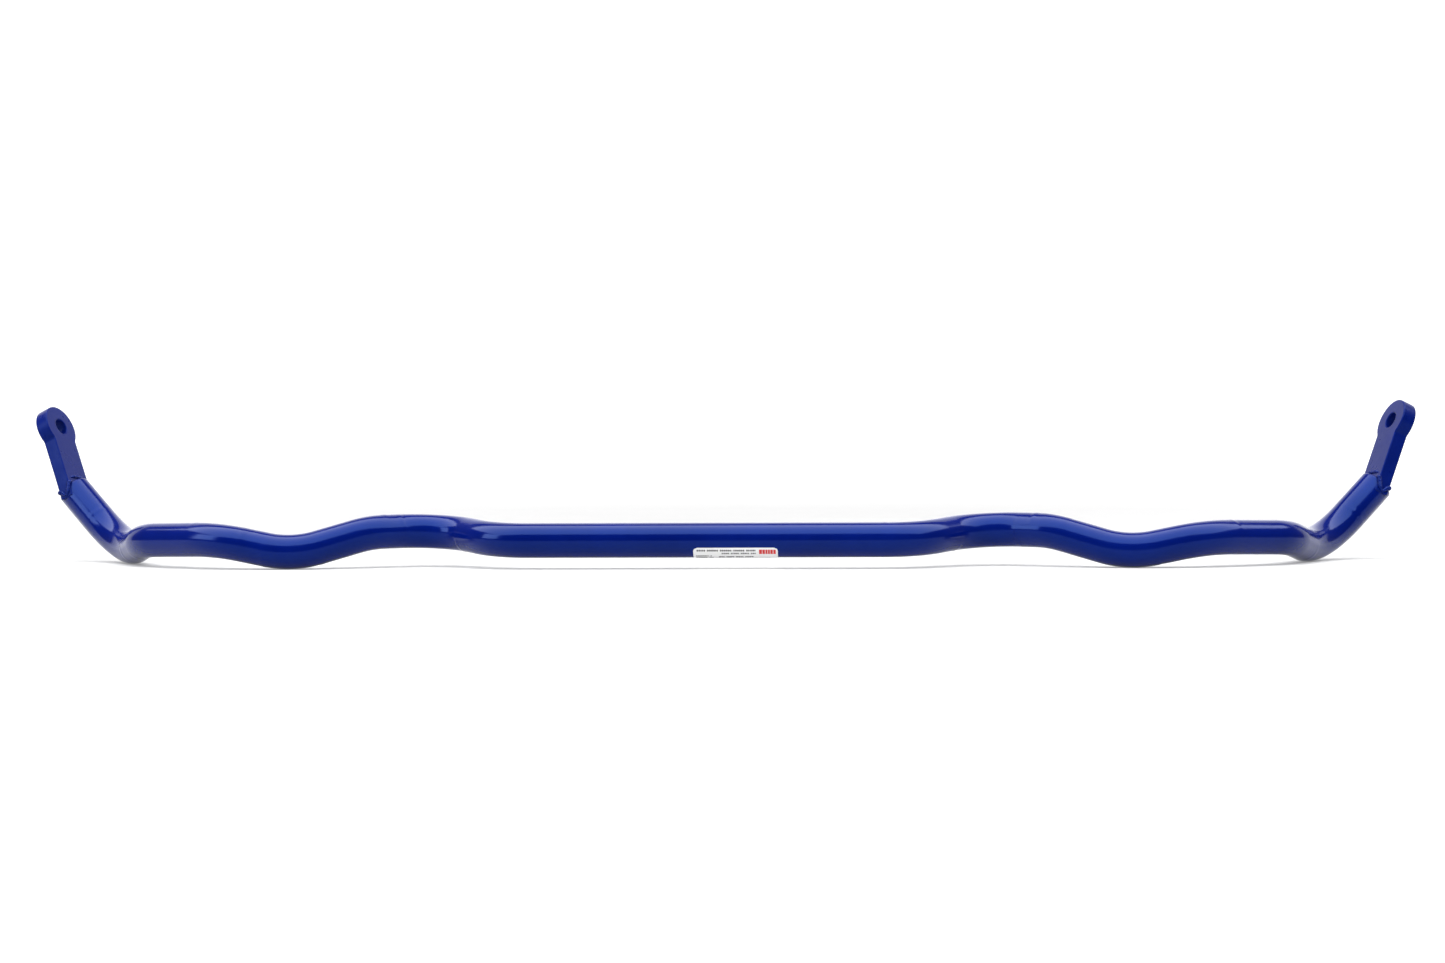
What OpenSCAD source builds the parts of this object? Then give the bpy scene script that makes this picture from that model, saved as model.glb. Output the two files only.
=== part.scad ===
// Stabiliser bar (sway bar) for a car: one bent steel tube with a flat drop-link lug
// slotted and welded into each end.
// X runs along the bar, Y from the centre section back to the arms, Z up. The bar rests
// on its two front dips and its two elbows. Millimetres.

/* [Tube] */
// Outside diameter of the tube
tube_d = 25.4; // [22:0.1:28]
// Wall thickness of the tube
tube_wall = 3.5; // [2:0.1:6]

/* [Shape of the right half] */
// Meeting point of the centre section and the hump's inner leg: out from the middle of the bar
hump_in_x = 152; // [151:0.5:153]
// Back corner of the hump: out from the middle of the bar
hump_x = 201; // [200:0.5:202]
// Back corner of the hump: behind the centre section
hump_y = 54; // [53:0.5:55]
// Back corner of the hump: above the centre section
hump_z = 6; // [5:0.5:7]
// Front corner of the hump's outer leg: out from the middle of the bar
hump_out_x = 249.5; // [248.5:0.5:250.5]
// Front corner of the hump's outer leg: behind the centre section
hump_out_y = 21.5; // [20.5:0.5:22.5]
// Front corner of the hump's outer leg: above the centre section
hump_out_z = 5.5; // [4.5:0.5:6.5]
// Front dip, the first resting point: out from the middle of the bar
dip_x = 303.5; // [302.5:0.5:304.5]
// Front dip, the first resting point: behind the centre section
dip_y = 2.5; // [1.5:0.5:3.5]
// Front dip, the first resting point: above the centre section
dip_z = -10.2; // [-11.2:0.1:-9.2]
// Start of the outer flat: out from the middle of the bar
flat_x = 360.5; // [359.5:0.5:361.5]
// Start of the outer flat: behind the centre section
flat_y = 7; // [6:0.5:8]
// Start of the outer flat: above the centre section
flat_z = 1; // [0:0.5:2]
// End of the outer flat, where the arm turns back: out from the middle of the bar
elbow_x = 425; // [424:0.5:426]
// End of the outer flat, where the arm turns back: behind the centre section
elbow_y = 47; // [46:0.5:48]
// End of the outer flat, where the arm turns back: above the centre section
elbow_z = -1; // [-2:0.5:0]
// Bottom of the arm, the second resting point: out from the middle of the bar
arm_x = 458; // [457:0.5:459]
// Bottom of the arm, the second resting point: behind the centre section
arm_y = 111; // [110:0.5:112]
// Bottom of the arm, the second resting point: above the centre section
arm_z = -13.5; // [-14.5:0.5:-12.5]
// Cut end of the tube: out from the middle of the bar
end_x = 506.5; // [505.5:0.5:507.5]
// Cut end of the tube: behind the centre section
end_y = 135.5; // [134.5:0.5:136.5]
// Cut end of the tube: above the centre section
end_z = 35; // [34:0.5:36]

/* [Bend radii on the tube's axis] */
// Hump, inner leg
radius_hump_in = 52; // [49:1:54]
// Hump, back corner
radius_hump = 42; // [39:1:44]
// Hump, outer leg
radius_hump_out = 60; // [57:1:62]
// Front dip
radius_dip = 61; // [58:1:63]
// Outer flat
radius_flat = 78; // [75:1:80]
// Elbow
radius_elbow = 45; // [42:1:47]
// Arm
radius_arm = 65; // [62:1:67]

// Length of the faint ring that the bending die leaves at each end of a bend
mark_l = 3; // [2:0.5:6]
// Height of that ring
mark_h = 0.06; // [0.04:0.01:0.3]

/* [Lugs] */
// Thickness of the lug plate
lug_t = 11; // [8:0.5:13]
// How much wider the lug's shank is than the tube
lug_over = 1.1; // [1.1:0.1:4]
// Radius of the eye round the hole
eye_r = 17.4; // [16.5:0.1:22]
// Diameter of the drop-link hole
hole_d = 12.6; // [8:0.1:16]
// Distance from the tube's cut end to the hole's centre
lug_reach = 53.5; // [45:0.5:70]
// How deep the lug's tongue sits in the slot of the tube
tongue = 8; // [6:0.5:12]
// Turn of the lug's inner face towards the front
lug_turn = 15.8; // [12:0.1:19]
// Upward lean of the lug's inner face
lug_lean = 24.6; // [20:0.1:28]
// Small radius in the two necks between eye and shank
neck_r = 4; // [2:1:6]

/* [Welds] */
// Height of the weld that closes the tube's mouth against the plate
weld_h = 6; // [4:0.5:8]
// Radius of the bead that follows each side of the slot
bead_r = 1.8; // [1.4:0.1:2.2]
// How far the weld stands out over the tube's rim
rim_h = 0.5; // [0.2:0.1:0.5]

/* [Label] */
// Length of the label along the bar
label_l = 61; // [40:1:90]
// Width of the label, straight across its wrap
label_w = 19.3; // [12:0.1:21]
// Thickness of the label
label_t = 0.2; // [0.1:0.05:0.4]
// Distance of the label's centre from the middle of the bar
label_x = 21.5; // [-60:0.5:60]
// Angle of the label's middle below the horizontal, at the front of the tube
label_tilt = 72.6; // [0:0.1:110]
// Corner radius of the label
label_corner = 3; // [1:0.5:5]

/* [Seat] */
// Height of the centre section's axis over the ground
axis_h = 20.7; // [18:0.1:40]
// Distance of the centre section's axis in front of the middle of the depth
axis_y = 77.5; // [60:0.1:100]

/* [Hidden] */
$fn = 64;
paint = [0.05, 0.13, 0.62];
path = [[0, 0, 0], [hump_in_x, 0, 0], [hump_x, hump_y, hump_z],
        [hump_out_x, hump_out_y, hump_out_z], [dip_x, dip_y, dip_z], [flat_x, flat_y, flat_z],
        [elbow_x, elbow_y, elbow_z], [arm_x, arm_y, arm_z], [end_x, end_y, end_z]];
radii = [0, radius_hump_in, radius_hump, radius_hump_out, radius_dip,
         radius_flat, radius_elbow, radius_arm, 0];
last = len(path) - 1;
over = 2;
mark_gap = 0.5;
lug_w = tube_d + lug_over;

function unit(v) = v / norm(v);
// Direction of the leg from corner i to the next
function leg(i) = unit(path[i + 1] - path[i]);
// Angle the tube turns through at corner i
function turn(i) = acos(leg(i - 1) * leg(i));
// Length of leg that the rounding of corner i uses up
function used(i) = (i == 0 || i == last) ? 0 : radii[i] * tan(turn(i) / 2);

tip = path[last];
axis_t = leg(last - 1);
face_n = [-cos(lug_lean) * cos(lug_turn), -cos(lug_lean) * sin(lug_turn), sin(lug_lean)];
// Across the plate, towards the front, and along the plate, towards its eye
plate_u = unit(cross(axis_t, face_n));
plate_l = cross(face_n, plate_u);

// Stand the children on an origin with their x, y and z axes along three given directions
module frame_at(o, x, y, z) {
    multmatrix([[x[0], y[0], z[0], o[0]],
                [x[1], y[1], z[1], o[1]],
                [x[2], y[2], z[2], o[2]],
                [0, 0, 0, 1]])
        children();
}

// Stand the bar on the ground, centred
module seated() {
    translate([0, -axis_y, axis_h]) children();
}

// The tube's section, grown by a little on both faces
module ring(grown = 0) {
    difference() {
        circle(d = tube_d + 2 * grown);
        circle(d = tube_d - 2 * tube_wall - 2 * grown);
    }
}

// The straight leg from corner i, with the die mark where each bend meets it
module straight(i) {
    z = leg(i);
    x = unit(cross(z, [0, 0, 1]));
    frame_at(path[i], x, cross(z, x), z) {
        translate([0, 0, used(i) + mark_gap])
            linear_extrude(norm(path[i + 1] - path[i]) - used(i) - used(i + 1)
                           - (i == last - 1 ? 1 : 2) * mark_gap) ring();
        translate([0, 0, used(i) - mark_l / 2]) linear_extrude(mark_l) ring(mark_h);
        if (i < last - 1)
            translate([0, 0, norm(path[i + 1] - path[i]) - used(i + 1) - mark_l / 2])
                linear_extrude(mark_l) ring(mark_h);
    }
}

// The bend at corner i, which stops just short of its straights, inside the die marks
module bend(i) {
    y = leg(i - 1);
    x = -unit(leg(i) - y * (y * leg(i)));
    frame_at(path[i] - y * used(i) - x * radii[i], x, y, cross(x, y))
        rotate_extrude(angle = turn(i))
            translate([radii[i], 0]) ring();
}

// The right half outside the centre section, slotted at its end
module half_run() {
    bend(1);
    for (i = [1:last - 2]) {
        straight(i);
        bend(i + 1);
    }
    difference() {
        straight(last - 1);
        slot();
    }
}

// Plate outline: x across, y towards the eye, origin on the tube's cut end
module plate_outline() {
    half = lug_w / 2;
    // the neck arc touches the shank's side and the eye from outside
    neck_x = half + neck_r;
    neck_y = lug_reach - sqrt(pow(eye_r + neck_r, 2) - pow(neck_x, 2));
    touch = eye_r / (eye_r + neck_r);
    translate([0, lug_reach]) circle(r = eye_r);
    translate([-half, -tongue]) square([lug_w, lug_reach + tongue]);
    difference() {
        polygon([[-neck_x, neck_y], [neck_x, neck_y],
                 [neck_x * touch, lug_reach - (lug_reach - neck_y) * touch],
                 [-neck_x * touch, lug_reach - (lug_reach - neck_y) * touch]]);
        for (s = [-1, 1]) translate([s * neck_x, neck_y]) circle(r = neck_r);
    }
}

// Children drawn in the plate's axes: x across, y along, z out of the inner face
module in_plate() {
    frame_at(tip, plate_u, plate_l, face_n) children();
}

// The lug on the right
module lug() {
    in_plate()
        difference() {
            linear_extrude(lug_t, center = true) plate_outline();
            translate([0, lug_reach, 0]) cylinder(d = hole_d, h = lug_t + 2 * over, center = true);
        }
}

// The slot the tongue sits in
module slot() {
    in_plate()
        translate([-tube_d, -tongue, -lug_t / 2])
            cube([2 * tube_d, tongue + 3 * tube_d, lug_t]);
}

// A straight rod between two points
module rod(a, b, r) {
    z = unit(b - a);
    x = unit(cross(z, [0.2, 1, 0.1]));
    frame_at(a, x, cross(z, x), z) cylinder(r = r, h = norm(b - a));
}

// The weld on one face of the right-hand lug, side 1 inner and -1 outer: a fill over the
// tube's mouth, and the half of each V-shaped bead at the slot's sides
module weld(side) {
    // where the tube's cut rim meets the face of the plate
    rim_x = sqrt(pow(tube_d / 2, 2) - pow(lug_t / 2 / (axis_t * plate_l), 2));
    rim_y = -side * lug_t / 2 * (axis_t * face_n) / (axis_t * plate_l);
    difference() {
        union() {
            frame_at(tip, plate_u, cross(axis_t, plate_u), axis_t)
                cylinder(r1 = tube_d / 2 + rim_h, r2 = tube_d / 2 - weld_h * 0.75, h = weld_h);
            in_plate()
                for (s = [-1, 1])
                    rod([s * rim_x, rim_y + 1.6, side * (lug_t / 2 + 1)],
                        [s * (lug_w / 2 + 0.2), bead_r - tongue, 0], bead_r);
        }
        in_plate() {
            linear_extrude(lug_t, center = true) plate_outline();
            translate([-50, -50, side > 0 ? -100 : 0]) cube([100, 100, 100]);
        }
        frame_at(tip - axis_t * 30, plate_u, cross(axis_t, plate_u), axis_t)
            cylinder(d = tube_d, h = 30);
    }
}

module bar_tube() {
    centre = norm(path[1]) - used(1);
    color(paint) seated() {
        translate([mark_gap - centre, 0, 0]) rotate([0, 90, 0])
            linear_extrude(2 * (centre - mark_gap)) ring();
        for (s = [-1, 1])
            translate([s * centre - mark_l / 2, 0, 0]) rotate([0, 90, 0])
                linear_extrude(mark_l) ring(mark_h);
        half_run();
        mirror([1, 0, 0]) half_run();
    }
}

module right_end_lug() { color(paint) seated() lug(); }
module left_end_lug() { color(paint) seated() mirror([1, 0, 0]) lug(); }
module right_inner_weld() { color(paint) seated() weld(1); }
module right_outer_weld() { color(paint) seated() weld(-1); }
module left_inner_weld() { color(paint) seated() mirror([1, 0, 0]) weld(1); }
module left_outer_weld() { color(paint) seated() mirror([1, 0, 0]) weld(-1); }

module label() {
    half_l = label_l / 2 - label_corner;
    half_w = label_w / 2 - label_corner;
    color([0.93, 0.93, 0.92]) seated() translate([label_x, 0, 0]) rotate([label_tilt, 0, 0])
        intersection() {
            rotate([0, 90, 0]) difference() {
                cylinder(d = tube_d + 2 * label_t, h = label_l, center = true);
                cylinder(d = tube_d, h = label_l + over, center = true);
            }
            rotate([90, 0, 0]) linear_extrude(tube_d) {
                square([label_l, 2 * half_w], center = true);
                square([2 * half_l, label_w], center = true);
                for (s = [-1, 1], t = [-1, 1])
                    translate([s * half_l, t * half_w]) circle(r = label_corner);
            }
        }
}

bar_tube();
left_end_lug();
right_end_lug();
left_inner_weld();
left_outer_weld();
right_inner_weld();
right_outer_weld();
label();
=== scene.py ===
"""Looks of a painted tubular stabiliser bar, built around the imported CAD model."""

import math

import bmesh
import bpy
from mathutils import Matrix, Vector, noise

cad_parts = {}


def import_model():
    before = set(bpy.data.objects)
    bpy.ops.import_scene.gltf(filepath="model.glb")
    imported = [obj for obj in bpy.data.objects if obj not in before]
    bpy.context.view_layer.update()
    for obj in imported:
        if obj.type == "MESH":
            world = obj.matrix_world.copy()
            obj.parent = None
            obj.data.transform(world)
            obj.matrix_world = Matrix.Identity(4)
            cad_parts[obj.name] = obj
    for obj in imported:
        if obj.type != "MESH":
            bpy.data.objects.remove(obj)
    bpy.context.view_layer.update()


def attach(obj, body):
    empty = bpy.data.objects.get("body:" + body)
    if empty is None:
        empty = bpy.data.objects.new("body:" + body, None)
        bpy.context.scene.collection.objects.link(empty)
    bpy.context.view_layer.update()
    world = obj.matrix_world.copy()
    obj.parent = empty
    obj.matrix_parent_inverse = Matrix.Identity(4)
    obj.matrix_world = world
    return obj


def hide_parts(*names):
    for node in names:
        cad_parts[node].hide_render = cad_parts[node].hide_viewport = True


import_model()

MM = 0.001

# ---- sizes, in millimetres, as in the CAD model -------------------------------------------

TUBE_R = 12.7
WALL = 3.5
AXIS = Vector((0, -77.5, 20.7))          # middle of the centre section
CORNERS = [Vector(c) for c in (
    (0, 0, 0), (152, 0, 0), (201, 54, 6), (249.5, 21.5, 5.5), (303.5, 2.5, -10.2),
    (360.5, 7, 1), (425, 47, -1), (458, 111, -13.5), (506.5, 135.5, 35))]
RADII = [0, 52, 42, 60, 61, 78, 45, 65, 0]   # the bend at each corner

LUG_T = 11.0
LUG_W = 26.5
EYE_R = 17.4
HOLE_R = 6.3
REACH = 53.5                             # from the tube's cut end to the eye's centre
TONGUE = 8.0                             # depth of the plate in the tube's slot
NECK_R = 4.0                             # radius between the shank and the eye
LUG_TURN = math.radians(15.8)
LUG_LEAN = math.radians(24.6)

LABEL_L = 61.0
LABEL_W = 19.3
LABEL_X = 21.5
LABEL_TILT = math.radians(72.6)
LABEL_CORNER = 3.0

# the right end: its tip, the tube's direction there, and the plate's own three directions
TIP = CORNERS[-1]
AXIS_T = (CORNERS[-1] - CORNERS[-2]).normalized()
FACE_N = Vector((-math.cos(LUG_LEAN) * math.cos(LUG_TURN),
                 -math.cos(LUG_LEAN) * math.sin(LUG_TURN), math.sin(LUG_LEAN)))
PLATE_U = AXIS_T.cross(FACE_N).normalized()
PLATE_L = FACE_N.cross(PLATE_U)
SIDES = (("left", -1), ("right", 1))


def world(p, side):
    """A point of the right half, in millimetres, in the frame's metres, on either side."""
    q = p + AXIS
    return Vector((side * q.x, q.y, q.z)) * MM


def plate_point(x, y, z):
    """A point in the right plate's own directions, measured from the tip."""
    return TIP + PLATE_U * x + PLATE_L * y + FACE_N * z


# ---- the tube's axis: straights and bends of constant radius ------------------------------

STEP_STRAIGHT = 1.0
STEP_TURN = math.radians(1.1)
CLOSEST = 0.02                           # points nearer than this count as one


def leg(i):
    """Direction from corner i to the next."""
    return (CORNERS[i + 1] - CORNERS[i]).normalized()


def used(i):
    """Length that the bend at corner i takes from each leg beside it."""
    if RADII[i] == 0:
        return 0.0
    return RADII[i] * math.tan(leg(i - 1).angle(leg(i)) / 2)


def axis_points():
    """The right half as (point, distance from the middle), and the distance of each bend's ends."""
    points, marks = [], []
    travelled, last = 0.0, None

    def add(p):
        nonlocal travelled, last
        if last is not None and (p - last).length < CLOSEST:
            return
        if last is not None:
            travelled += (p - last).length
        points.append((p, travelled))
        last = p

    for i in range(len(CORNERS) - 1):
        a = CORNERS[i] + leg(i) * used(i)
        b = CORNERS[i + 1] - leg(i) * used(i + 1)
        n = max(2, int((b - a).length / STEP_STRAIGHT))
        for k in range(n + 1):
            add(a.lerp(b, k / n))
        if i + 1 < len(CORNERS) - 1:
            marks.append(travelled)
            radius = RADII[i + 1]
            turn = leg(i).angle(leg(i + 1))
            side = (leg(i + 1) - leg(i) * leg(i).dot(leg(i + 1))).normalized()
            centre = b + side * radius
            n = max(4, int(turn / STEP_TURN))
            for k in range(1, n + 1):
                t = turn * k / n
                add(centre - side * radius * math.cos(t) + leg(i) * radius * math.sin(t))
            marks.append(travelled)
    return points, marks


AXIS_POINTS, MARKS = axis_points()


def full_axis():
    """The axis from the left cut end to the right one, as (point, tangent, distance)."""
    left = [(Vector((-p.x, p.y, p.z)), -s) for p, s in reversed(AXIS_POINTS[1:])]
    line = left + AXIS_POINTS
    out = []
    for k, (p, s) in enumerate(line):
        a = line[max(k - 1, 0)][0]
        b = line[min(k + 1, len(line) - 1)][0]
        out.append((p, (b - a).normalized(), s))
    return out


# ---- helpers ------------------------------------------------------------------------------

def link(name, data):
    """A new object in the scene."""
    obj = bpy.data.objects.new(name, data)
    bpy.context.scene.collection.objects.link(obj)
    return obj


def mesh_object(name, verts, faces, smooth=True):
    mesh = bpy.data.meshes.new(name)
    mesh.from_pydata([tuple(v) for v in verts], [], faces)
    mesh.validate()
    for poly in mesh.polygons:
        poly.use_smooth = smooth
    return link(name, mesh)


def append_mesh(verts, faces, more_verts, more_faces):
    """Add a second mesh's points and faces to the first's lists."""
    start = len(verts)
    verts += more_verts
    faces += [tuple(i + start for i in face) for face in more_faces]


def recalculate_normals(obj):
    bm = bmesh.new()
    bm.from_mesh(obj.data)
    bmesh.ops.recalc_face_normals(bm, faces=bm.faces)
    bm.to_mesh(obj.data)
    bm.free()


def apply_modifiers(obj):
    graph = bpy.context.evaluated_depsgraph_get()
    mesh = bpy.data.meshes.new_from_object(obj.evaluated_get(graph), depsgraph=graph)
    old = obj.data
    obj.modifiers.clear()
    obj.data = mesh
    bpy.data.meshes.remove(old)


def give(obj, material, replaces=()):
    """Set a piece's material and body, and hide the CAD nodes that it stands for."""
    obj.data.materials.clear()
    obj.data.materials.append(material)
    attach(obj, "root")
    if replaces:
        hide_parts(*replaces)


# ---- materials ----------------------------------------------------------------------------

RELIEF = 0.0002                          # metres that a bump of full strength stands for


class Nodes:
    """A short way to write a material's node tree."""

    def __init__(self, name):
        self.material = bpy.data.materials.new(name)
        self.material.use_nodes = True
        self.tree = self.material.node_tree
        self.shader = self.tree.nodes["Principled BSDF"]
        self.coord = self.add("ShaderNodeTexCoord")

    def add(self, kind, **values):
        node = self.tree.nodes.new(kind)
        for key, value in values.items():
            if hasattr(node, key):
                setattr(node, key, value)
            else:
                node.inputs[key.replace("_", " ")].default_value = value
        return node

    def join(self, a, out, b, into):
        self.tree.links.new(a.outputs[out], b.inputs[into])

    def set(self, **values):
        for key, value in values.items():
            self.shader.inputs[key.replace("_", " ")].default_value = value

    def grain(self, **values):
        """A noise texture laid out in the object's own coordinates."""
        node = self.add("ShaderNodeTexNoise", **values)
        self.join(self.coord, "Object", node, "Vector")
        return node

    def tone(self, texture, low, high):
        """Base colour from a texture, between two stops of (place, colour)."""
        node = self.add("ShaderNodeValToRGB")
        for element, (place, colour) in zip(node.color_ramp.elements, (low, high)):
            element.position = place
            element.color = (*colour, 1)
        self.join(texture, "Fac", node, "Fac")
        self.join(node, "Color", self.shader, "Base Color")

    def bump(self, texture, strength):
        node = self.add("ShaderNodeBump", Strength=strength, Distance=RELIEF)
        self.join(texture, "Fac", node, "Height")
        self.join(node, "Normal", self.shader, "Normal")


def paint_material(name, deep, light, gloss, level, peel):
    """Blue enamel: two close blues in soft clouds, orange peel and a tinted gloss."""
    n = Nodes(name)
    cloud = n.grain(Scale=22.0, Detail=3.0, Roughness=0.5)
    n.tone(cloud, (0.38, deep), (0.62, light))
    smear = n.grain(Scale=90.0, Detail=2.0, Roughness=0.6)
    rough = n.add("ShaderNodeMapRange", From_Min=0.35, From_Max=0.65,
                  To_Min=gloss[0], To_Max=gloss[1])
    n.join(smear, "Fac", rough, "Value")
    n.join(rough, "Result", n.shader, "Roughness")
    n.bump(n.grain(Scale=420.0, Detail=2.0, Roughness=0.45), peel)
    n.set(Specular_Tint=(0.14, 0.29, 0.78, 1.0), Specular_IOR_Level=level, IOR=1.5)
    return n.material


PAINT = paint_material("blue_enamel", deep=(0.0002, 0.0042, 0.090), light=(0.0004, 0.0054, 0.106),
                       gloss=(0.12, 0.17), level=0.50, peel=0.05)
LUG_PAINT = paint_material("blue_enamel_flat", deep=(0.0006, 0.0050, 0.088),
                           light=(0.0012, 0.0068, 0.104), gloss=(0.27, 0.36), level=0.22, peel=0.16)
WELD_PAINT = paint_material("blue_enamel_weld", deep=(0.0003, 0.0044, 0.090),
                            light=(0.0006, 0.0058, 0.108), gloss=(0.15, 0.22), level=0.50, peel=0.25)


def film_material():
    """Glossy white film."""
    n = Nodes("label_film")
    cloud = n.grain(Scale=60.0, Detail=2.0)
    n.tone(cloud, (0.35, (0.74, 0.74, 0.74)), (0.65, (0.80, 0.80, 0.80)))
    n.bump(cloud, 0.06)
    n.set(Roughness=0.28, Coat_Weight=0.3, Coat_Roughness=0.12)
    return n.material


def ink_material(name, colour):
    """Print that is a little uneven in its depth."""
    n = Nodes(name)
    dark = [c * 0.8 for c in colour]
    n.tone(n.grain(Scale=900.0, Detail=2.0), (0.4, dark), (0.6, colour))
    n.set(Roughness=0.4)
    return n.material


FILM = film_material()
INK_GREY = ink_material("ink_grey", (0.05, 0.05, 0.055))
INK_BLACK = ink_material("ink_black", (0.03, 0.03, 0.035))
INK_RED = ink_material("ink_red", (0.60, 0.02, 0.02))

# ---- the tube ------------------------------------------------------------------------------

AROUND = 72                              # points round the tube
INSIDE_STEP = 5                          # the inner wall keeps every fifth ring
UNTRUE = 0.03                            # waver of the drawn wall
UNTRUE_PACE = 0.012                      # how fast the waver changes along the tube
MARK_REACH = 9.0                         # a bending mark has faded out by this distance
RIDGE_EVEN = 0.010                       # ridge height all round
RIDGE_HARD = 0.16                        # extra ridge height where the clamp pressed hardest
RIDGE_W = 1.5
HOLLOW_DEPTH = 0.06                      # the shallow hollow beside the ridge
HOLLOW_AT = 3.4
HOLLOW_W = 1.7
UP = Vector((0, 0, 1))


def die_mark(s, angle):
    """Height of the marks that bending leaves, at a distance s along the axis."""
    h = 0.0
    for k, m in enumerate(MARKS):
        d = abs(s) - m
        if abs(d) < MARK_REACH:
            # the clamp presses hardest on one part of the round, a different one at each mark
            hard = max(0.0, math.cos(angle - 2.1 - 1.3 * k - (0.8 if s < 0 else 0.0))) ** 3
            h += (RIDGE_EVEN + RIDGE_HARD * hard) * math.exp(-(d / RIDGE_W) ** 2)
            h -= HOLLOW_DEPTH * hard * math.exp(-((d - HOLLOW_AT) / HOLLOW_W) ** 2)
    return h


def outer_radius(s, angle):
    """Radius of the outside, with its marks and the slight waver of a drawn tube."""
    waver = noise.noise(Vector((s * UNTRUE_PACE, math.cos(angle), math.sin(angle))))
    return TUBE_R + die_mark(s, angle) + UNTRUE * waver


def inner_radius(s, angle):
    return TUBE_R - WALL


def tube_ring(station, radius_at):
    """One ring of points round the axis."""
    p, t, s = station
    x = t.cross(UP).normalized()
    y = x.cross(t).normalized()
    ring = []
    for j in range(AROUND):
        a = 2 * math.pi * j / AROUND
        ring.append((p + (x * math.cos(a) + y * math.sin(a)) * radius_at(s, a) + AXIS) * MM)
    return ring


def build_tube():
    """The outer wall, a coarser inner wall, and a flat ring that joins them at each mouth."""
    line = full_axis()
    rows = len(line)
    verts, faces = [], []
    for station in line:
        verts += tube_ring(station, outer_radius)
    rim = len(verts)
    inside = sorted(set(range(0, rows, INSIDE_STEP)) | {rows - 1})
    for k in inside:
        verts += tube_ring(line[k], inner_radius)
    for first, count, order in ((0, rows, -1), (rim, len(inside), 1)):
        for k in range(count - 1):
            for j in range(AROUND):
                a = first + k * AROUND + j
                b = first + k * AROUND + (j + 1) % AROUND
                faces.append((a, b, b + AROUND, a + AROUND)[::order])
    last_outer = (rows - 1) * AROUND
    last_inner = rim + (len(inside) - 1) * AROUND
    for outer, inner, order in ((0, rim, 1), (last_outer, last_inner, -1)):
        for j in range(AROUND):
            k = (j + 1) % AROUND
            faces.append((outer + j, outer + k, inner + k, inner + j)[::order])
    obj = mesh_object("tube", verts, faces)
    give(obj, PAINT, ("bar_tube",))


build_tube()

# ---- the lugs ------------------------------------------------------------------------------

EDGE_BEVEL = 0.9
BEVEL_SEGMENTS = 3
BEVEL_FROM = math.radians(35)            # edges sharper than this are bevelled


def arc(x, y, radius, first, last, steps):
    """Points on an arc, with both its ends."""
    angles = [first + (last - first) * k / steps for k in range(steps + 1)]
    return [(x + radius * math.cos(a), y + radius * math.sin(a)) for a in angles]


def plate_outline():
    """Outline of the lug in the plate's axes, anticlockwise from the tongue's right corner."""
    half = LUG_W / 2
    neck_x = half + NECK_R
    neck_y = REACH - math.sqrt((EYE_R + NECK_R) ** 2 - neck_x ** 2)
    start = math.atan2(neck_y - REACH, neck_x)
    # the neck's arc turns from the shank's side to the eye
    right = [(half, -TONGUE)] + arc(neck_x, neck_y, NECK_R, math.pi, math.pi + start, 6)
    eye = arc(0, REACH, EYE_R, start, math.pi - start, 57)[1:-1]
    return right + eye + [(-x, y) for x, y in reversed(right)]


def bevel(obj):
    """Round the sharp edges, with smooth shading between the flat faces."""
    mod = obj.modifiers.new("bevel", "BEVEL")
    mod.width = EDGE_BEVEL
    mod.segments = BEVEL_SEGMENTS
    mod.limit_method = "ANGLE"
    mod.angle_limit = BEVEL_FROM
    mod.harden_normals = True
    apply_modifiers(obj)


def plate_mesh(name):
    """The flat plate with its round hole, in its own axes."""
    bm = bmesh.new()
    layers = []
    for z in (-LUG_T / 2, LUG_T / 2):
        rings = []
        for points in (plate_outline(), arc(0, REACH, HOLE_R, 0, 2 * math.pi, 48)[:-1]):
            rings.append([bm.verts.new((x, y, z)) for x, y in points])
        edges = []
        for ring in rings:
            for k in range(len(ring)):
                edges.append(bm.edges.new((ring[k], ring[(k + 1) % len(ring)])))
        bmesh.ops.triangle_fill(bm, use_beauty=True, use_dissolve=True, edges=edges,
                                normal=(0, 0, 1 if z > 0 else -1))
        layers.append(rings)
    for low, high in zip(*layers):
        n = len(low)
        for k in range(n):
            bm.faces.new((low[k], low[(k + 1) % n], high[(k + 1) % n], high[k]))
    bmesh.ops.recalc_face_normals(bm, faces=bm.faces)
    mesh = bpy.data.meshes.new(name)
    bm.to_mesh(mesh)
    bm.free()
    return mesh


def build_lug(label, side):
    """A bevelled plate, moved to its place, with each flat face shaded flat."""
    obj = link(label + "_lug", plate_mesh(label + "_lug"))
    bevel(obj)
    for v in obj.data.vertices:
        v.co = world(plate_point(*v.co), side)
    if side < 0:
        obj.data.flip_normals()
    for poly in obj.data.polygons:
        poly.use_smooth = True
    mod = obj.modifiers.new("flat", "WEIGHTED_NORMAL")
    mod.weight = 100
    mod.keep_sharp = True
    apply_modifiers(obj)
    give(obj, LUG_PAINT, (label + "_end_lug",))


for label, side in SIDES:
    build_lug(label, side)

# ---- the welds -----------------------------------------------------------------------------

# the sheet for the mouth, as it is before its points are slid to the plate
FILL_ROWS = 8
FILL_AROUND = 40
FILL_OUT = 0.35                          # it starts this far outside the tube
FILL_IN = 4.6                            # and ends this far inside the tube's radius
FILL_RISE = 6.0
FILL_WAVER = 0.5
FILL_SKIRT = 1.0                         # how far its edge is carried down along the tube
FILL_SINK = 0.3                          # depth under the plate's face that points are slid to

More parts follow.
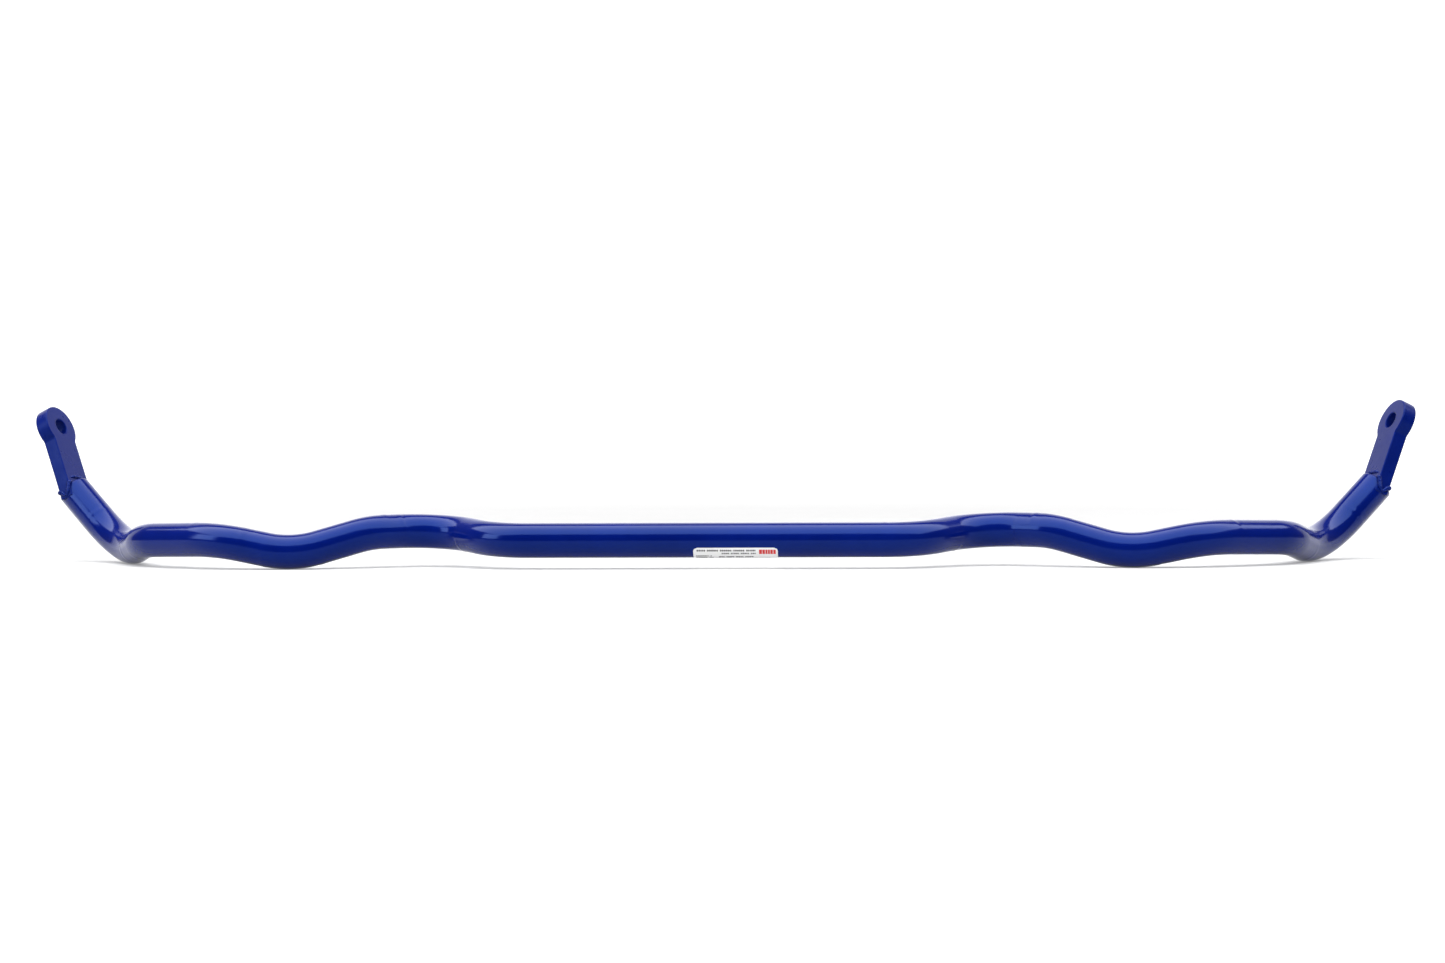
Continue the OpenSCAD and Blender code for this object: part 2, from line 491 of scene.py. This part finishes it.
BEAD_AROUND = 14
SLOT_BEAD_R = 1.75
SLOT_BEAD_STEPS = 60
TOE_BEAD_R = 1.5
TOE_BEAD_STEPS = 70
RIPPLE = 0.10                            # height of the ripples, as a share of the radius
RIPPLE_TURN = 1.35                       # phase of the ripples from one ring to the next
BEAD_WAVER = 0.14
ASKEW = Vector((0.31, 0.17, 0.93))       # a direction that no bead runs along

# where the tube's rim meets a face of the plate
RIM_HALF = LUG_T / 2 / AXIS_T.dot(PLATE_L)
RIM_X = math.sqrt(TUBE_R ** 2 - RIM_HALF ** 2)


def rim_y(face):
    return -face * LUG_T / 2 * AXIS_T.dot(FACE_N) / AXIS_T.dot(PLATE_L)


def bead(path, radius, seed, steps):
    """A weld bead along a smooth path: its radius swells and ripples as it was laid."""
    verts, faces = [], []
    total = len(path) - 1
    for k in range(steps + 1):
        f = k / steps * total
        i = min(int(f), total - 1)
        p = path[i].lerp(path[i + 1], f - i)
        t = (path[min(i + 2, total)] - path[max(i - 1, 0)]).normalized()
        x = t.cross(ASKEW).normalized()
        y = t.cross(x)
        ends = min(1.0, 4 * k / steps, 4 * (steps - k) / steps) ** 0.5
        for j in range(BEAD_AROUND):
            a = 2 * math.pi * j / BEAD_AROUND
            waver = noise.noise(Vector((k * 0.22 + seed, math.cos(a) * 0.9, math.sin(a) * 0.9)))
            r = radius * (0.25 + 0.75 * ends)
            r *= 1 + RIPPLE * math.sin(k * RIPPLE_TURN + 0.9 * math.cos(a)) + BEAD_WAVER * waver
            verts.append(p + (x * math.cos(a) + y * math.sin(a)) * r)
    for k in range(steps):
        for j in range(BEAD_AROUND):
            a = k * BEAD_AROUND + j
            b = k * BEAD_AROUND + (j + 1) % BEAD_AROUND
            faces.append((a, b, b + BEAD_AROUND, a + BEAD_AROUND))
    faces.append(tuple(range(BEAD_AROUND))[::-1])
    faces.append(tuple(range(steps * BEAD_AROUND, (steps + 1) * BEAD_AROUND)))
    return verts, faces


def fill(side, face):
    """An open sheet meant to close the half of the tube's mouth on one face of the plate.

    It doesn't close it: cross points away from that face, so the half swept is the wrong one,
    and nearly every point is slid into the plate, where the sheet doesn't show.
    """
    cross = AXIS_T.cross(PLATE_U)
    verts, faces = [], []
    for r in range(FILL_ROWS + 1):
        f = r / FILL_ROWS
        radius = (TUBE_R + FILL_OUT) * (1 - f) + (TUBE_R - FILL_IN) * f
        lift = FILL_RISE * math.sin(f * math.pi / 2)
        for j in range(FILL_AROUND + 1):
            a = math.pi * j / FILL_AROUND * face
            p = TIP + (PLATE_U * math.cos(a) + cross * math.sin(a)) * radius + AXIS_T * lift
            waver = noise.noise(Vector((j * 0.35 + face * 7, r * 0.5, side * 3.1)))
            p += AXIS_T * waver * FILL_WAVER * (1 if r else 0)
            # a point lower than this is slid to just under the plate's face
            z = (p - TIP).dot(FACE_N) * face
            if z < LUG_T / 2 - FILL_SINK:
                p += FACE_N * face * (LUG_T / 2 - FILL_SINK - z)
            verts.append(p)
    row = FILL_AROUND + 1
    for r in range(FILL_ROWS):
        for j in range(FILL_AROUND):
            a = r * row + j
            faces.append((a, a + 1, a + row + 1, a + row))
    low = len(verts)
    verts += [v - AXIS_T * FILL_SKIRT for v in verts[:row]]
    for j in range(FILL_AROUND):
        faces.append((low + j, low + j + 1, j + 1, j))
    return verts, faces


def slot_bead(side, face, s):
    """A bead that runs from the plate's face down one side of the slot."""
    y = rim_y(face)
    a = plate_point(s * (RIM_X - 1.0), y + 2.2, face * (LUG_T / 2 + 0.6))
    b = plate_point(s * (RIM_X + 1.4), y + 0.6, face * (LUG_T / 2 - 0.2))
    c = plate_point(s * (LUG_W / 2), -3.2, face * 3.0)
    d = plate_point(s * (LUG_W / 2), 1.4 - TONGUE, 0)
    path = [a, b, b.lerp(c, 0.5), c, d]
    return bead(path, SLOT_BEAD_R, side * 5 + face * 2 + s, SLOT_BEAD_STEPS)


def toe_bead(side, face):
    """The weld's toe, bowed across the plate's face."""
    path = []
    for k in range(9):
        f = k / 8 * 2 - 1
        y = rim_y(face) + 5.4 + 1.2 * (1 - f * f)
        path.append(plate_point(f * (RIM_X - 2.2), y, face * (LUG_T / 2 - 0.4)))
    return bead(path, TOE_BEAD_R, side * 9 + face * 4, TOE_BEAD_STEPS)


def build_weld(label, side, name, face):
    """The three beads at one face of the plate, and the sheet that was meant to fill the mouth."""
    verts, faces = fill(side, face)
    for s in (-1, 1):
        append_mesh(verts, faces, *slot_bead(side, face, s))
    append_mesh(verts, faces, *toe_bead(side, face))
    obj = mesh_object("%s_%s_bead" % (label, name), [world(v, side) for v in verts], faces)
    recalculate_normals(obj)
    give(obj, WELD_PAINT, ("%s_%s_weld" % (label, name),))


for label, side in SIDES:
    for name, face in (("inner", 1), ("outer", -1)):
        build_weld(label, side, name, face)

# ---- the label -----------------------------------------------------------------------------

HALF_L = LABEL_L / 2
HALF_ARC = math.asin(LABEL_W / 2 / TUBE_R) * TUBE_R
FILM_TOP = 0.2                           # the film's outer face, above the tube
FILM_UNDER = 0.02                        # its inner face
FILM_STEP_ALONG = 1.0
FILM_STEP_ROUND = 0.8
FILM_SHARP = math.radians(50)
INK_TOP = 0.25
INK_STRIP = 0.8                          # a block follows the round in strips up to this wide
BLOCK_GAP = 0.35
WORD_GAP = 1.1


def wrapped(u, v, lift):
    """A point of the label in metres, u along the bar and v round the tube in millimetres."""
    # the middle of the label looks down and forward
    r = TUBE_R + lift
    a = LABEL_TILT + v / TUBE_R
    return (Vector((LABEL_X + u, -r * math.cos(a), -r * math.sin(a))) + AXIS) * MM


def build_label_sheet():
    """A thin closed film wrapped on the tube, with rounded corners."""
    nu = int(LABEL_L / FILM_STEP_ALONG)
    nv = int(2 * HALF_ARC / FILM_STEP_ROUND)
    verts, faces = [], []
    for lift in (FILM_TOP, FILM_UNDER):
        for i in range(nu + 1):
            for j in range(nv + 1):
                v = -HALF_ARC + 2 * HALF_ARC * j / nv
                # draw the corners in along the long side
                near = max(0.0, LABEL_CORNER - min(v + HALF_ARC, HALF_ARC - v))
                inset = LABEL_CORNER - math.sqrt(max(0.0, LABEL_CORNER ** 2 - near ** 2))
                verts.append(wrapped((HALF_L - inset) * (2 * i / nu - 1), v, lift))
    span = nv + 1
    low = (nu + 1) * span
    for i in range(nu):
        for j in range(nv):
            a = i * span + j
            faces.append((a, a + span, a + span + 1, a + 1))
            faces.append((low + a, low + a + 1, low + a + span + 1, low + a + span))
    edge = [i * span for i in range(nu + 1)]
    edge += [nu * span + j for j in range(1, nv + 1)]
    edge += [i * span + nv for i in range(nu - 1, -1, -1)]
    edge += list(range(nv - 1, 0, -1))
    for a, b in zip(edge, edge[1:] + edge[:1]):
        faces.append((b, a, low + a, low + b))
    obj = mesh_object("label_sheet", verts, faces)
    recalculate_normals(obj)
    obj.data.set_sharp_from_angle(angle=FILM_SHARP)
    give(obj, FILM, ("label",))


build_label_sheet()


def ink_line(u0, u1, v0, v1, words, block):
    """Quads that look like a line of small print: blocks with gaps, no letters."""
    verts, faces = [], []
    strips = max(1, math.ceil((v1 - v0) / INK_STRIP))
    u, k = u0, 0
    while u < u1:
        length = block * (0.6 + 0.5 * abs(math.sin(k * 12.9898 + v0 * 4.1)))
        if k % words == words - 1:
            u += WORD_GAP
        end = min(u + length, u1)
        for j in range(strips):
            low = v0 + (v1 - v0) * j / strips
            high = v0 + (v1 - v0) * (j + 1) / strips
            quad = [wrapped(*corner, INK_TOP)
                    for corner in ((u, low), (end, low), (end, high), (u, high))]
            append_mesh(verts, faces, quad, [(0, 1, 2, 3)])
        u = end + BLOCK_GAP
        k += 1
    return verts, faces


def print_piece(name, material, rows):
    verts, faces = [], []
    for row in rows:
        append_mesh(verts, faces, *ink_line(*row))
    give(mesh_object(name, verts, faces, smooth=False), material)


# each row: from and to along the bar, from and to round the tube, blocks to a word, block length
TOP = -HALF_ARC
print_piece("label_print", INK_GREY, [
    (-28, 14.5, TOP + 1.5, TOP + 3.0, 6, 1.1),
    (-10, 14.5, TOP + 4.3, TOP + 5.7, 5, 1.0),
    (-28.5, -17, TOP + 7.2, TOP + 8.6, 9, 0.9),
    (-12, 13, TOP + 8.4, TOP + 10.4, 4, 1.2),
    (-28, 25, TOP + 12.0, TOP + 13.0, 10, 1.0),
    (-28, 12, TOP + 14.6, TOP + 15.6, 5, 1.0)])
print_piece("label_code", INK_BLACK, [
    (-29, -20, TOP + 17.2, TOP + 20.0, 99, 0.5),
    (-28.5, -16, TOP + 9.6, TOP + 11.0, 6, 1.3)])
print_piece("label_mark", INK_RED, [(17, 29, TOP + 1.5, TOP + 5.6, 9, 2.0)])

# ---- floor, light and camera ---------------------------------------------------------------

# the stage and the lights are in metres
STAGE_HALF = 16.0
STAGE_FRONT = -16.0
STAGE_BACK = 5.0
STAGE_RISE = 3.0                         # radius of the curve from floor to backdrop
STAGE_HEIGHT = 9.0


def painted_glow_paper_material():
    """Pale paper with painted light: it glows weakly near the bar, which lightens the shadows there,
    and more with distance, so that it stays white behind the bar.
    """
    n = Nodes("paper")
    n.tone(n.grain(Scale=3.0, Detail=4.0), (0.3, (0.40, 0.40, 0.40)), (0.7, (0.42, 0.42, 0.42)))
    away = n.add("ShaderNodeVectorMath", operation="LENGTH")
    n.join(n.coord, "Object", away, 0)
    # painted light: the glow rises from 0.25 near the bar to 0.9 far behind it
    far = n.add("ShaderNodeMapRange", From_Min=0.7, From_Max=2.4, To_Min=0.25, To_Max=0.9)
    n.join(away, "Value", far, "Value")
    n.join(far, "Result", n.shader, "Emission Strength")
    n.set(Roughness=0.9, Emission_Color=(1, 1, 1, 1))
    return n.material


def build_stage():
    """One pale sheet: a flat floor that curves up into a backdrop."""
    profile = [(STAGE_FRONT, 0.0), (-1.0, 0.0), (1.0, 0.0), (STAGE_BACK, 0.0)]
    for k in range(1, 13):
        a = math.pi / 2 * k / 12
        profile.append((STAGE_BACK + STAGE_RISE * math.sin(a), STAGE_RISE * (1 - math.cos(a))))
    profile.append((STAGE_BACK + STAGE_RISE, STAGE_HEIGHT))
    verts, faces = [], []
    for y, z in profile:
        verts += [(-STAGE_HALF, y, z), (STAGE_HALF, y, z)]
    for k in range(len(profile) - 1):
        faces.append((2 * k, 2 * k + 1, 2 * k + 3, 2 * k + 2))
    obj = mesh_object("floor", verts, faces)
    obj.data.materials.append(painted_glow_paper_material())


build_stage()


def area(name, at, look, size, power):
    """A rectangular area light that looks at a point."""
    light = bpy.data.lights.new(name, "AREA")
    light.shape = "RECTANGLE"
    light.size, light.size_y = size
    light.energy = power
    obj = link(name, light)
    obj.location = at
    obj.rotation_euler = (Vector(look) - Vector(at)).to_track_quat("-Z", "Y").to_euler()


area("softbox_top", at=(0, -0.45, 1.25), look=(0, -0.45, 0), size=(3.6, 1.9), power=100)
area("softbox_left", at=(-2.3, -1.3, 0.9), look=(0, 0, 0.05), size=(1.0, 1.1), power=20)
area("backdrop_light", at=(0, 4.0, 3.4), look=(0, 8.0, 0.6), size=(9.0, 2.0), power=260)

studio = bpy.data.worlds.new("studio")
bpy.context.scene.world = studio
studio.use_nodes = True
studio.node_tree.nodes["Background"].inputs["Color"].default_value = (1, 1, 1, 1)
studio.node_tree.nodes["Background"].inputs["Strength"].default_value = 0.12
bpy.context.scene.view_settings.view_transform = "Standard"

# the camera stands almost level with the bar, in millimetres from the middle of the bar's
# centre section: DISTANCE back, then TO_RIGHT and TO_TOP as the camera sees them
SENSOR_W = 36.0
LENS = 62.60761
DISTANCE = 1820.0
TO_RIGHT = 11.6602
TO_TOP = 42.5125
ELEVATION = math.radians(1.09)
AZIMUTH = math.radians(-2.96)
ROLL = math.radians(-0.27)


def build_camera():
    forward = Vector((math.sin(AZIMUTH) * math.cos(ELEVATION),
                      math.cos(AZIMUTH) * math.cos(ELEVATION), -math.sin(ELEVATION)))
    level = Vector((math.cos(AZIMUTH), -math.sin(AZIMUTH), 0))
    above = level.cross(forward)
    right = level * math.cos(ROLL) + above * math.sin(ROLL)
    up = above * math.cos(ROLL) - level * math.sin(ROLL)
    place = right * TO_RIGHT + up * TO_TOP - forward * DISTANCE
    camera = bpy.data.cameras.new("camera")
    camera.sensor_width = SENSOR_W
    camera.lens = LENS
    camera.clip_end = 100
    obj = link("camera", camera)
    turn = Matrix((right, up, -forward)).transposed().to_4x4()
    obj.matrix_world = Matrix.Translation((place + AXIS) * MM) @ turn
    bpy.context.scene.camera = obj


build_camera()
